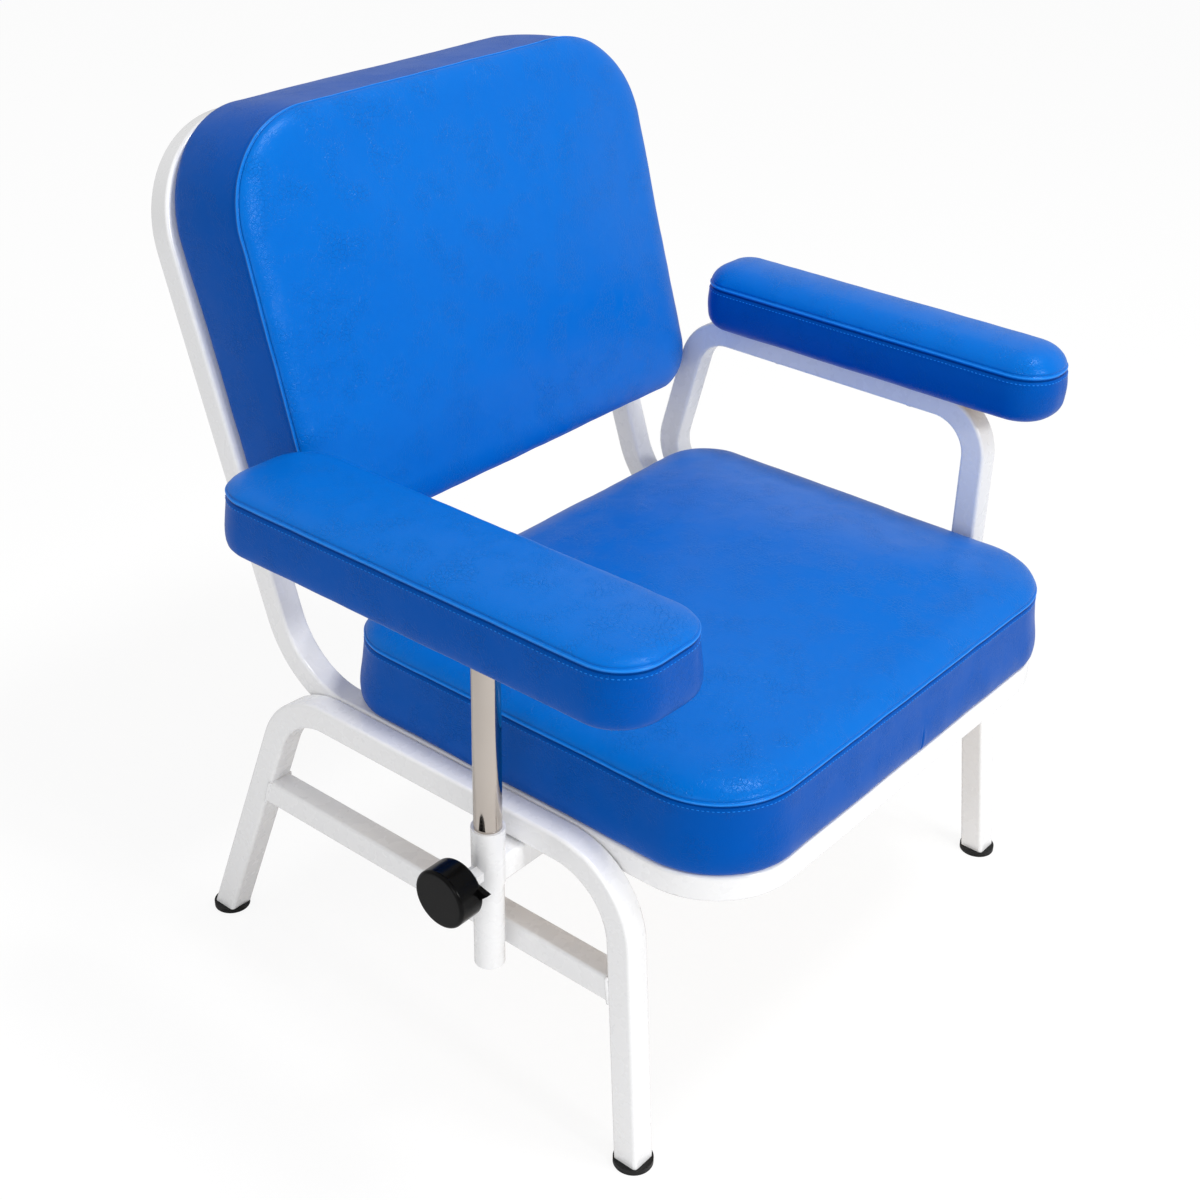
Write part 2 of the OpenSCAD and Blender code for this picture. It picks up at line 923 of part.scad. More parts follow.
translate([-mid_x, -mid_y, 0]) {
    seat_frame();
    back_frame();
    leg_arch(-1);  // right_leg_arch
    leg_arch(1);  // left_leg_arch
    lower_rail(-1);  // right_lower_rail
    lower_rail(1);  // left_lower_rail
    rear_cross_rail();
    seat_tabs();
    back_tabs();
    fixed_arm_bow(-1);  // fixed_arm_tube
    fixed_arm_bow(1);  // fixed_arm_rear_tube
    arm_bracket();
    clamp_collar();
    guide_tube();
    clamp_nut();
    clamp_tip();
    clamp_stud();
    clamp_knob();
    post_end_plug();
    arm_post();
    arm_plate();
    right_arm_screws();
    right_arm_board();
    right_arm_pad();
    left_arm_screws();
    left_arm_board();
    left_arm_pad();
    seat_screws();
    seat_board();
    seat_cushion();
    back_screws();
    back_board();
    back_cushion();
    foot(-1, false);  // front_right_foot
    foot(1, false);  // front_left_foot
    foot(-1, true);  // rear_right_foot
    foot(1, true);  // rear_left_foot
}
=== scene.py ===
# Looks of a phlebotomy chair: vinyl upholstery with welted seams, painted and plated tube,
# plywood boards, black plastic fittings, a pale floor, soft light and the camera.
import json
import math

import bmesh
import bpy
import numpy as np
from mathutils import Matrix, Vector, noise
from mathutils.bvhtree import BVHTree


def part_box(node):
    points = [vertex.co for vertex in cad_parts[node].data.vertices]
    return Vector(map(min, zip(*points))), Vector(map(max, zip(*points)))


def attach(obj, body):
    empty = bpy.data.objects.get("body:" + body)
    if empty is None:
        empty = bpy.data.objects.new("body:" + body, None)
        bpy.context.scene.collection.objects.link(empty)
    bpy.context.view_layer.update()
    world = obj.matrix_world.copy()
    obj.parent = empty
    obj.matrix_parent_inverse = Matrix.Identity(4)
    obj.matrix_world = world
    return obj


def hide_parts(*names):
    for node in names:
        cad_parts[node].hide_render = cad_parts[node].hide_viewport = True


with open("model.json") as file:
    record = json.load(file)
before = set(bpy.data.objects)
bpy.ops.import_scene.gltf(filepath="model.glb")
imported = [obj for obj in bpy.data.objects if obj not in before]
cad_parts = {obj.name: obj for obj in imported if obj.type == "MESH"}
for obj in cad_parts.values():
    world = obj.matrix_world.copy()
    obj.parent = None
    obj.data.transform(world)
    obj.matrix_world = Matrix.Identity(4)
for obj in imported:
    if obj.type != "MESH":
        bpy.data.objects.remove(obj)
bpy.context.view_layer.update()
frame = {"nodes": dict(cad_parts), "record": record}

nodes = frame["nodes"]
MM = 0.001
# Where the chair's own drawing has its origin: under the middle of the seat frame's front rail
DRAWN_X, DRAWN_Y = 36.346 * MM, -388.835 * MM


# Materials

class Shader:
    """Small helper that adds and links the nodes of one material."""

    def __init__(self, name):
        self.material = bpy.data.materials.new(name)
        self.material.use_nodes = True
        self.tree = self.material.node_tree
        self.main = self.tree.nodes["Principled BSDF"]
        self.place = self.add("ShaderNodeTexCoord").outputs["Object"]

    def add(self, kind, **values):
        node = self.tree.nodes.new(kind)
        for key, value in values.items():
            if key in node.inputs:
                node.inputs[key].default_value = value
            else:
                setattr(node, key, value)
        return node

    def link(self, output, target):
        self.tree.links.new(output, target)

    def noise(self, scale, detail=3.0, rough=0.5, place=None):
        node = self.add("ShaderNodeTexNoise", Scale=scale, Detail=detail, Roughness=rough)
        self.link(place or self.place, node.inputs["Vector"])
        return node.outputs["Fac"]

    def cells(self, scale, feature, place=None):
        node = self.add("ShaderNodeTexVoronoi", feature=feature, Scale=scale)
        self.link(place or self.place, node.inputs["Vector"])
        return node.outputs["Distance"]

    def ramp(self, value, low, high, start=0.0, end=1.0):
        node = self.add("ShaderNodeMapRange")
        node.inputs["From Min"].default_value = low
        node.inputs["From Max"].default_value = high
        node.inputs["To Min"].default_value = start
        node.inputs["To Max"].default_value = end
        self.link(value, node.inputs["Value"])
        return node.outputs["Result"]

    def mix(self, share, first, second):
        node = self.add("ShaderNodeMix", data_type="RGBA")
        self.set(node.inputs["Factor"], share)
        self.set(node.inputs["A"], first)
        self.set(node.inputs["B"], second)
        return node.outputs["Result"]

    def math(self, operation, first, second):
        node = self.add("ShaderNodeMath", operation=operation)
        self.set(node.inputs[0], first)
        self.set(node.inputs[1], second)
        return node.outputs["Value"]

    def bump(self, height, depth, strength=1.0, before=None):
        node = self.add("ShaderNodeBump", Strength=strength, Distance=depth)
        self.link(height, node.inputs["Height"])
        if before is not None:
            self.link(before, node.inputs["Normal"])
        return node.outputs["Normal"]

    def set(self, socket, value):
        if isinstance(value, bpy.types.NodeSocket):
            self.link(value, socket)
        elif isinstance(value, tuple) and len(value) == 3:
            socket.default_value = (*value, 1.0)
        else:
            socket.default_value = value

    def out(self, **values):
        for key, value in values.items():
            self.set(self.main.inputs[key.replace("_", " ")], value)
        return self.material


def vinyl(name, base, deep, grain=1.0, shine=0.22, coat=0.16):
    """Pressed vinyl: slow tone, pores, pebbles with painted shade in the grooves between them, and patches
    of fine crackle.
    """
    s = Shader(name)
    bent = s.add("ShaderNodeVectorMath", operation="ADD")
    pull = s.add("ShaderNodeVectorMath", operation="SCALE", Scale=0.004)
    turned = s.add("ShaderNodeTexNoise", Scale=55.0, Detail=2.0)
    s.link(s.place, turned.inputs["Vector"])
    s.link(turned.outputs["Color"], pull.inputs[0])
    s.link(s.place, bent.inputs[0])
    s.link(pull.outputs["Vector"], bent.inputs[1])
    pebble = s.ramp(s.cells(620.0, "DISTANCE_TO_EDGE", bent.outputs["Vector"]), 0.0, 0.22)
    crease = s.ramp(s.cells(210.0, "DISTANCE_TO_EDGE", bent.outputs["Vector"]), 0.0, 0.07)
    pores = s.noise(1500.0, 2.0)
    tone = s.ramp(s.noise(7.0, 4.0), 0.3, 0.7)
    cloud = s.ramp(s.noise(90.0, 2.0), 0.3, 0.75, 0.0, 0.12)
    colour = s.mix(s.math("ADD", s.math("MULTIPLY", tone, 0.2), cloud), base, deep)
    # The grooves between the pebbles are painted darker: painted shade.
    colour = s.mix(s.ramp(pebble, 0.0, 1.0, 0.16, 0.0), colour, deep)
    wear = s.math("ADD", s.math("MULTIPLY", s.noise(26.0, 4.0), 0.7), s.math("MULTIPLY", pores, 0.3))
    rough = s.ramp(wear, 0.25, 0.75, 0.31, 0.40)
    normal = s.bump(pores, 0.00004, 0.5 * grain)
    normal = s.bump(pebble, 0.00009, 0.5 * grain, normal)
    patches = s.ramp(s.noise(30.0, 2.0), 0.40, 0.65, 0.0, 0.9)
    normal = s.bump(s.math("MULTIPLY", crease, patches), 0.00045, 0.8 * grain, normal)
    normal = s.bump(s.noise(34.0, 3.0), 0.0005, 0.3 * grain, normal)
    return s.out(Base_Color=colour, Roughness=rough, Normal=normal, Specular_IOR_Level=shine,
        Specular_Tint=(0.0, 0.5, 1.0), Coat_Weight=coat, Coat_Roughness=0.20, Coat_Normal=normal)


def powder_coat():
    """White paint, nearly even, with a faint orange peel."""
    s = Shader("white_powder_coat")
    colour = s.mix(s.ramp(s.noise(3.0, 2.0), 0.2, 0.8), (0.932, 0.934, 0.942), (0.940, 0.942, 0.947))
    rough = s.ramp(s.noise(60.0, 2.0), 0.3, 0.7, 0.26, 0.29)
    return s.out(Base_Color=colour, Roughness=rough, Normal=s.bump(s.noise(160.0, 2.0), 0.00002, 0.1),
        Specular_IOR_Level=0.5, Coat_Weight=0.6, Coat_Roughness=0.18)


def chrome():
    """Drawn and plated tube: fine lines along the post and slightly uneven shine."""
    s = Shader("chrome_plate")
    stretched = s.add("ShaderNodeMapping")
    stretched.inputs["Scale"].default_value = (1.0, 1.0, 0.04)
    s.link(s.place, stretched.inputs["Vector"])
    drawn = s.noise(900.0, 2.0, place=stretched.outputs["Vector"])
    smear = s.ramp(s.noise(22.0, 4.0), 0.35, 0.75, 0.05, 0.13)
    colour = s.mix(s.ramp(s.noise(6.0), 0.3, 0.7), (0.50, 0.450, 0.405), (0.58, 0.525, 0.475))
    return s.out(Base_Color=colour, Metallic=1.0, Roughness=smear, Normal=s.bump(drawn, 0.00001, 0.3))


def zinc(name, thread_pitch=0.0):
    """Zinc-plated steel, with a thread along X where a pitch is given."""
    s = Shader(name)
    colour = s.mix(s.ramp(s.noise(160.0, 4.0), 0.35, 0.65), (0.55, 0.56, 0.57), (0.68, 0.68, 0.66))
    rough = s.ramp(s.noise(240.0, 3.0), 0.3, 0.7, 0.28, 0.45)
    normal = s.bump(s.noise(700.0), 0.00005, 0.4)
    if thread_pitch:
        turns = s.add("ShaderNodeTexWave", wave_type="BANDS", bands_direction="X",
            Scale=math.tau / (20 * thread_pitch))
        s.link(s.place, turns.inputs["Vector"])
        normal = s.bump(turns.outputs["Fac"], 0.0009, 1.0, normal)
    return s.out(Base_Color=colour, Metallic=1.0, Roughness=rough, Normal=normal)


def moulded(name, tone, low, high, shine):
    """Black plastic or rubber of a tone, with its roughness between low and high."""
    s = Shader(name)
    colour = s.mix(s.ramp(s.noise(40.0, 4.0), 0.3, 0.7), (tone, tone, tone * 1.05),
        (tone * 1.7, tone * 1.7, tone * 1.75))
    rough = s.ramp(s.noise(75.0, 3.0), 0.3, 0.7, low, high)
    return s.out(Base_Color=colour, Roughness=rough, Normal=s.bump(s.noise(1300.0, 2.0), 0.00005, 0.5),
        Specular_IOR_Level=shine)


def plywood():
    """Boards with their grain along Y and their plies along Z."""
    s = Shader("plywood")
    along = s.add("ShaderNodeMapping")
    along.inputs["Scale"].default_value = (14.0, 1.2, 14.0)
    s.link(s.place, along.inputs["Vector"])
    grain = s.noise(9.0, 6.0, 0.65, along.outputs["Vector"])
    fine = s.noise(60.0, 3.0, 0.5, along.outputs["Vector"])
    plies = s.add("ShaderNodeTexWave", wave_type="BANDS", bands_direction="Z", Scale=60.0, Distortion=0.6)
    s.link(s.place, plies.inputs["Vector"])
    colour = s.mix(s.ramp(grain, 0.3, 0.7), (0.44, 0.28, 0.145), (0.60, 0.42, 0.235))
    colour = s.mix(s.ramp(plies.outputs["Fac"], 0.4, 0.9, 0.0, 0.2), colour, (0.33, 0.20, 0.10))
    height = s.math("ADD", grain, s.math("MULTIPLY", fine, 0.4))
    rough = s.ramp(fine, 0.3, 0.7, 0.55, 0.72)
    return s.out(Base_Color=colour, Roughness=rough, Normal=s.bump(height, 0.0002, 0.5))


VINYL = vinyl("blue_vinyl", (0.0, 0.150, 0.610), (0.0, 0.120, 0.540))
# The band's copy of the vinyl is painted darker than the top, as painted shade on the cushion's sides, with
# less shine and coat.
SHADED_BAND = vinyl("blue_vinyl_band_painted_shade", (0.0, 0.088, 0.450), (0.0, 0.070, 0.385), shine=0.12, coat=0.04)
# The welt's copy of the vinyl is painted lighter: a painted highlight along the welt ridge, with more coat
# for a glint.
WELT_HIGHLIGHT = vinyl("blue_vinyl_welt_painted_highlight", (0.010, 0.230, 0.800), (0.004, 0.190, 0.720), 0.4, 0.3, 0.35)
# The seam's copy of the vinyl is painted darker: painted shade in the grooves and trough beside the welt.
GROOVE_SHADE = vinyl("blue_vinyl_seam_painted_shade", (0.0, 0.045, 0.260), (0.0, 0.035, 0.220), 0.3, 0.1, 0.0)
THREAD = vinyl("blue_thread", (0.015, 0.240, 0.800), (0.008, 0.200, 0.720), 0.3, 0.3, 0.1)
PAINT = powder_coat()
CHROME = chrome()
ZINC = zinc("zinc_steel")
THREADED = zinc("zinc_thread", 1.5 * MM)
KNOB = moulded("black_plastic", 0.0014, 0.16, 0.24, 0.12)
RUBBER = moulded("black_rubber", 0.003, 0.4, 0.55, 0.3)
WOOD = plywood()

finishes = {"white_powder_coat": PAINT, "chrome_plate": CHROME, "zinc_steel": ZINC,
    "black_plastic": KNOB, "black_rubber": RUBBER, "plywood": WOOD, "blue_vinyl": VINYL}
for part in frame["record"]["subparts"]:
    mesh = nodes[part["node"]].data
    mesh.materials.clear()
    mesh.materials.append(THREADED if part["node"] == "clamp_stud" else finishes[part["material_slot"]])


# Meshes

def new_object(name, points, faces, material):
    """Smooth-shaded object of those points and faces."""
    mesh = bpy.data.meshes.new(name)
    mesh.from_pydata([tuple(p) for p in points], [], faces)
    mesh.update()
    mesh.polygons.foreach_set("use_smooth", [True] * len(mesh.polygons))
    mesh.materials.append(material)
    thing = bpy.data.objects.new(name, mesh)
    bpy.context.scene.collection.objects.link(thing)
    return thing


def dress(thing, body):
    """Ties a piece to its body."""
    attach(thing, body)


def smooth_step(x):
    """0 below 0, 1 above 1 and a smooth rise between."""
    x = np.clip(x, 0.0, 1.0)
    return x * x * (3.0 - 2.0 * x)


def bell(x, middle, spread):
    """1 at the middle, falling off on both sides."""
    return np.exp(-0.5 * ((x - middle) / spread) ** 2)


# Form of a seam at distances from it in mm, plus towards the top: place, spread and height
WELT_RIDGE = (-0.6, 1.2, 1.2)
GROOVE = (2.1, 0.8, -0.9)
STITCH_LIP = (-8.6, 1.3, 0.3)
STITCH_TROUGH = (-4.2, 1.2, -1.2)
PLAIN_TROUGH = (-3.6, 1.3, -0.5)
STITCH_ROW = -8.0 * MM
BAND_START = -2.4 * MM
# Strips along a seam in other copies of the vinyl: number 2 painted lighter as a painted highlight on the
# welt, number 3 painted darker as painted shade in the grooves; from, to (mm) and material number
STITCHED_STRIPS = ((-1.6, 0.6, 2), (-5.1, -2.9, 3))
PLAIN_STRIPS = ((-1.1, 0.6, 2), (1.6, 2.6, 3))


class Cushion:
    """A cushion in its own space: x across, y along, z away from its board."""

    cloth_frames = 20
    smoothing_passes = 60

    def __init__(self, name, node, body, place, size, radii, band, crown, roll, board, shoulder,
            shoulder_share, stitched=True, step=5.0 * MM, joins=(), wedge=0.0, flare=0.0, over=0.0,
            lean=0.0):
        self.name, self.node, self.body, self.place = name, node, body, place
        self.width, self.length = size
        self.front_r, self.rear_r = radii
        self.band, self.crown, self.roll, self.board = band, crown, roll, board
        self.shoulder, self.shoulder_share = shoulder, shoulder_share
        self.stitched, self.joins, self.step = stitched, joins, step
        self.wedge, self.flare, self.over, self.lean = wedge, flare, over, lean
        self.bulge = 3.0 * MM
        self.gap = 0.3 * MM
        narrow = self.width < 0.2
        self.swell_most = 3 * MM if narrow else 7 * MM
        self.voxel = 5 * MM if narrow else 7 * MM
        self.cap = 12 * MM if narrow else 24 * MM
        self.start_share = 1 - 0.85 * self.swell_most / crown
        self.reach = min(self.width, self.length) / 2
        self.far = self.reach - self.bulge
        self.corners()
        self.tables()

    def corners(self):
        """Corner arcs and straights, counter-clockwise from the middle of the front."""
        w, l, fr, rr = self.width / 2, self.length, self.front_r, self.rear_r
        self.path = [("line", (0, 0), (w - fr, 0)), ("arc", (w - fr, fr), fr, -90),
            ("line", (w, fr), (w, l - rr)), ("arc", (w - rr, l - rr), rr, 0),
            ("line", (w - rr, l), (rr - w, l)), ("arc", (rr - w, l - rr), rr, 90),
            ("line", (-w, l - rr), (-w, fr)), ("arc", (fr - w, fr), fr, 180),
            ("line", (fr - w, 0), (0, 0))]
        lengths = []
        for p in self.path:
            if p[0] == "line":
                lengths.append(math.dist(p[1], p[2]))
            else:
                lengths.append(p[2] * math.pi / 2)
        self.starts = np.concatenate([[0.0], np.cumsum(lengths)])
        self.around = self.starts[-1]

    def outline(self, u):
        """Point and outward direction at arc length u along the outline."""
        u = u % self.around
        i = min(int(np.searchsorted(self.starts, u, "right")) - 1, len(self.path) - 1)
        p, v = self.path[i], u - self.starts[i]
        if p[0] == "line":
            a, b = np.array(p[1], float), np.array(p[2], float)
            d = (b - a) / np.linalg.norm(b - a)
            return a + d * v, np.array([d[1], -d[0]])
        angle = math.radians(p[3]) + v / p[2]
        out = np.array([math.cos(angle), math.sin(angle)])
        return np.array(p[1]) + out * p[2], out

    def stations(self, step, fine=True):
        """Arc lengths of the loft's columns, closer together at the band's joins."""
        count = int(round(self.around / step))
        u = list(np.arange(count) * self.around / count)
        if fine:
            for place, _ in self.joins:
                u = [v for v in u if abs(v - place) > 8 * MM]
                u += [place + k * 0.7 * MM for k in range(-10, 11)]
        return np.array(sorted(u))

    def height(self, d):
        """Height above the seam at inset d from it: a tight shoulder, then a gentle dome."""
        tight = np.sqrt(1 - (1 - np.minimum(d / self.shoulder, 1)) ** 2)
        gentle = 1 - (1 - np.minimum(d / self.far, 1)) ** 2
        return self.crown * (self.shoulder_share * tight + (1 - self.shoulder_share) * gentle)

    def tables(self):
        """Arc lengths of points along the top's profile, from the seam to the middle."""
        turn = np.linspace(0, math.pi / 2, 300)
        d = np.concatenate([self.shoulder * (1 - np.cos(turn)),
            np.linspace(self.shoulder, self.far, 200)[1:]])
        steps = np.hypot(np.diff(d), np.diff(self.height(d)))
        self.top_s, self.top_d = np.concatenate([[0.0], np.cumsum(steps)]), d
        self.shoulder_s = float(np.interp(self.shoulder, d, self.top_s))

    def profile(self, s, rise=1.0):
        """Inset from the outline and height, at signed arc distance s from the seam (up is plus)."""
        if s >= 0:
            d = float(np.interp(s, self.top_s, self.top_d))
            return self.bulge + d, self.band + rise * float(self.height(d))
        side = self.band - self.roll
        if s > -side:
            u = 1 + s / side
            return self.bulge * (1 - math.sin(math.pi * (0.25 + 0.75 * u))), self.roll + side * u
        v = min((-s - side) / (self.roll * math.pi / 2), 1)
        a = math.pi / 2 * v
        low = self.bulge * (1 - math.sin(math.pi / 4))
        return low + self.roll * (1 - math.cos(a)), self.roll * (1 - math.sin(a)) + self.gap * v

    def rings(self, fine):
        """Arc distances of the rings, from the lower edge to the middle of the top."""
        top = self.top_s[-1]
        low = -(self.band - self.roll) - self.roll * math.pi / 2
        if not fine:
            return np.concatenate([np.linspace(low, -6 * MM, 10), np.linspace(0, self.shoulder_s, 8),
                np.linspace(self.shoulder_s, top, 12)[1:]])
        seam = np.concatenate([np.arange(-13, -9, 1.0), np.arange(-9, 5, 0.5), np.arange(5, 13, 1.0)]) * MM
        middle = min(self.shoulder_s + 30 * MM, 0.7 * top)
        up = np.arange(seam[-1] + 2 * MM, middle, 4 * MM)
        far = np.linspace(up[-1], top, 2 + int((top - up[-1]) / (8 * MM)))[1:]
        down = np.arange(seam[0] - 2 * MM, low + 2 * MM, -4 * MM)[::-1]
        return np.concatenate([[low], down, seam, up, far])

    def grid(self, u, s, rise=1.0):
        """Points of the loft, ring by ring, in the cushion's own space."""
        w, l, m, tight = self.width / 2, self.length, self.reach, min(self.front_r, self.rear_r)
        points = np.empty((len(s), len(u), 3))
        base = [self.outline(v) for v in u]
        start = np.array([b[0] for b in base])
        out = np.array([b[1] for b in base])
        core = np.stack([np.clip(start[:, 0], m - w, w - m), np.clip(start[:, 1], m, l - m)], 1)
        for i, v in enumerate(s):
            inset, z = self.profile(v, rise)
            # near the edge the rings step in square to the outline, further in they close on the core
            t = inset / m
            square = start - out * inset
            closing = start + (core - start) * t
            share = smooth_step(np.array((inset - 0.2 * tight) / (0.7 * tight)))
            points[i, :, :2] = square * (1 - share) + closing * share
            points[i, :, 2] = z
        return self.shaped(points)

    def shaped(self, points):
        """Thickens the cushion to its rear end, slopes that end's band and flares the lower edge."""
        x, y, z = points[..., 0], points[..., 1], points[..., 2]
        low = bell(z, 0.18 * self.band, 0.22 * self.band)
        points[..., 0] = x * (1 + 2 * self.flare * low / self.width)
        along, up = np.clip(y / self.length, 0, 1), np.clip(z / self.band, 0, 1)
        slope = (self.over - self.lean * up) * along ** 3
        points[..., 1] = y + (2 * y / self.length - 1) * self.flare * low + slope
        points[..., 2] = z + self.wedge * along * up ** 1.5
        return points

    def closed(self, points, u):
        """Vertices and faces of the loft with its recess for the board, closed."""
        count = points.shape[1]
        inner = points[0].copy()
        lip = self.roll + 4 * MM - self.gap
        base = [self.outline(v) for v in u]
        inner[:, :2] = [b[0] - b[1] * min(lip, 0.95 * min(self.front_r, self.rear_r)) for b in base]
        wall = inner.copy()
        wall[:, 2] = self.board
        everything = [wall, inner, *points]
        vertices = np.concatenate(everything)
        faces = []
        for i in range(len(everything) - 1):
            for j in range(count):
                k = (j + 1) % count
                faces.append((i * count + j, i * count + k, (i + 1) * count + k, (i + 1) * count + j))
        middle = len(vertices)
        vertices = np.concatenate([vertices, [[0, self.length / 2, self.board]]])
        faces += [(middle, (j + 1) % count, j) for j in range(count)]
        return vertices, faces

    def base_mesh(self, name, rise):
        """Coarse closed mesh that the cloth starts from."""
        u = self.stations(9 * MM, False)
        vertices, faces = self.closed(self.grid(u, self.rings(False), rise), u)
        thing = new_object(name, vertices, faces, VINYL)
        merge(thing, 0.6 * MM)
        return thing

    def swell(self):
        """Cloth with pressure on a copy; returns the relaxed surface as a search tree."""
        start = self.base_mesh(self.name + "_cloth", 0.86)
        remesh = start.modifiers.new("remesh", "REMESH")
        remesh.mode = "VOXEL"
        remesh.voxel_size = self.voxel
        apply(start, remesh)
        held = start.vertex_groups.new(name="held")
        for v in start.data.vertices:
            low = smooth_step(np.array((0.45 * self.band - v.co.z) / (0.3 * self.band)))
            seam = bell(v.co.z, self.band, 4 * MM) * 0.85 if self.near_edge(v.co) else 0.0
            held.add([v.index], float(max(low, seam)), "REPLACE")
        cloth = start.modifiers.new("cloth", "CLOTH")
        c = cloth.settings
        c.quality = 6
        c.mass = 0.4
        c.tension_stiffness = 18
        c.compression_stiffness = 18
        c.shear_stiffness = 8
        c.bending_stiffness = 0.9
        c.use_pressure = True
        c.uniform_pressure_force = 4.0
        c.vertex_group_mass = "held"
        c.pin_stiffness = 2.0
        c.effector_weights.gravity = 0.0
        cloth.collision_settings.use_collision = False
        cloth.collision_settings.use_self_collision = False
        cloth.point_cache.frame_start = 1
        cloth.point_cache.frame_end = self.cloth_frames
        before = np.array([v.co for v in start.data.vertices])
        scene = bpy.context.scene
        for f in range(1, self.cloth_frames + 1):
            scene.frame_set(f)
        apply(start, cloth)
        scene.frame_set(1)
        after = np.array([v.co for v in start.data.vertices])
        moved = after - before
        size = np.linalg.norm(moved, axis=1, keepdims=True)
        after = before + moved * np.minimum(1.0, self.cap / np.maximum(size, 1e-9))
        start.data.vertices.foreach_set("co", after.ravel())
        start.data.update()
        tree = BVHTree.FromObject(start, bpy.context.evaluated_depsgraph_get())
        bpy.data.objects.remove(start)
        return tree

    def near_edge(self, co):
        """Whether a point lies within 14 mm of the outline."""
        w, l, edge = self.width / 2, self.length, 14 * MM
        return abs(co.x) > w - edge or co.y < edge or co.y > l - edge or self.in_corner(co, edge)

    def in_corner(self, co, edge):
        w, l = self.width / 2, self.length
        for r, y, up in ((self.front_r, self.front_r, -1), (self.rear_r, l - self.rear_r, 1)):
            dx, dy = abs(co.x) - (w - r), (co.y - y) * up
            if dx > 0 and dy > 0 and math.hypot(dx, dy) > r - edge:
                return True
        return False

    def build(self):
        """Makes the cushion's piece: loft, relaxed cloth, seam detail, faces of each vinyl, with painted
        shade on the band and in the seam's grooves and a painted highlight on the welt.
        """
        u, s = self.stations(self.step), self.rings(True)
        points = self.grid(u, s, self.start_share)
        normals = self.directions(points, s)
        points = points + normals * self.relaxed(points, normals, s)[..., None]
        points = points + self.directions(points, s) * self.detail(u, s, points)[..., None]
        self.points, self.s = points, s
        vertices, faces = self.closed(points, u)
        piece = new_object(self.name, vertices, faces, VINYL)
        # Slots 1 to 3: painted shade on the band, painted highlight on the welt, painted shade in the
        # grooves
        for painted_light_vinyl in (SHADED_BAND, WELT_HIGHLIGHT, GROOVE_SHADE):
            piece.data.materials.append(painted_light_vinyl)
        kinds = np.zeros(len(faces), int)
        below = 2  # rings of the recess, which closed() puts before the loft
        # Recess and band below the seam take slot 1, the darker copy of the vinyl: painted shade on the
        # cushion's sides.
        kinds[:(int(np.argmin(np.abs(s - BAND_START))) + below) * len(u)] = 1
        for low, high, kind in STITCHED_STRIPS if self.stitched else PLAIN_STRIPS:
            rows = np.nonzero((s > low * MM) & (s < high * MM))[0] + below
            kinds[rows[0] * len(u):rows[-1] * len(u)] = kind
        piece.data.polygons.foreach_set("material_index", kinds)
        merge(piece, 0.2 * MM)
        piece.data.transform(self.place)
        dress(piece, self.body)
        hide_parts(self.node)
        if self.stitched:
            self.stitches()

    def directions(self, points, s):
        """Outward directions, which turn straight up over the middle of the top."""
        up = smooth_step((s - self.shoulder_s) / (0.3 * self.reach))[:, None, None]
        mixed = grid_normals(points) * (1 - up) + np.array([0.0, 0.0, 1.0]) * up
        return mixed / np.linalg.norm(mixed, axis=2, keepdims=True)

    def relaxed(self, points, normals, s):
        """How far the relaxed cloth lies out from each point, smoothed and faded at the seam."""
        tree, look = self.swell(), 30 * MM
        out = np.zeros(points.shape[:2])
        for i in range(points.shape[0]):
            for j in range(points.shape[1]):
                p, n = Vector(points[i, j]), Vector(normals[i, j])
                hit = tree.ray_cast(p + n * look, -n, 2 * look)
                out[i, j] = look - hit[3] if hit[0] else 0.0
        out = np.maximum(out, 0.0) * min(1.0, self.swell_most / max(float(np.percentile(out, 98)), MM))
        for _ in range(self.smoothing_passes):
            wide = (np.roll(out, 1, 1) + np.roll(out, -1, 1)) / 2
            tall = out.copy()
            tall[1:-1] = (out[:-2] + out[2:]) / 2
            out = 0.4 * out + 0.3 * wide + 0.3 * tall
        fade = smooth_step(np.abs(s) / (0.5 * self.reach)) * smooth_step((s - s[0]) / (25 * MM))
        return out * fade[:, None]

    def detail(self, u, s, points):
        """Welt, grooves, stitch furrow, band joins and the small unevenness of pulled vinyl."""
        s_mm = s / MM
        forms = (STITCH_LIP, STITCH_TROUGH) if self.stitched else (PLAIN_TROUGH,)
        out = sum(rise * bell(s_mm, middle, spread) for middle, spread, rise in (WELT_RIDGE, GROOVE, *forms))
        out = np.repeat(out[:, None], len(u), 1) * MM
        for place, reach in self.joins:
            along = smooth_step((-s / self.band - 1 + reach) / 0.15)[:, None]
            near, beside = bell((u - place) / MM, 0.0, 0.9), bell(np.abs(u - place) / MM, 3.0, 1.6)
            out += along * (-1.1 * near + 0.3 * beside)[None, :] * MM
        for i in range(points.shape[0]):
            edge = math.exp(-abs(s_mm[i]) / 22.0)
            for j in range(points.shape[1]):
                p = Vector(points[i, j])
                soft = noise.noise(p * 14.0) * 0.8 + noise.noise(p * 38.0) * 0.25
                pull = noise.noise(Vector((u[j] * 46.0, s[i] * 16.0, 3.7))) * 0.35 * edge
                out[i, j] += (soft + pull) * MM
        return out

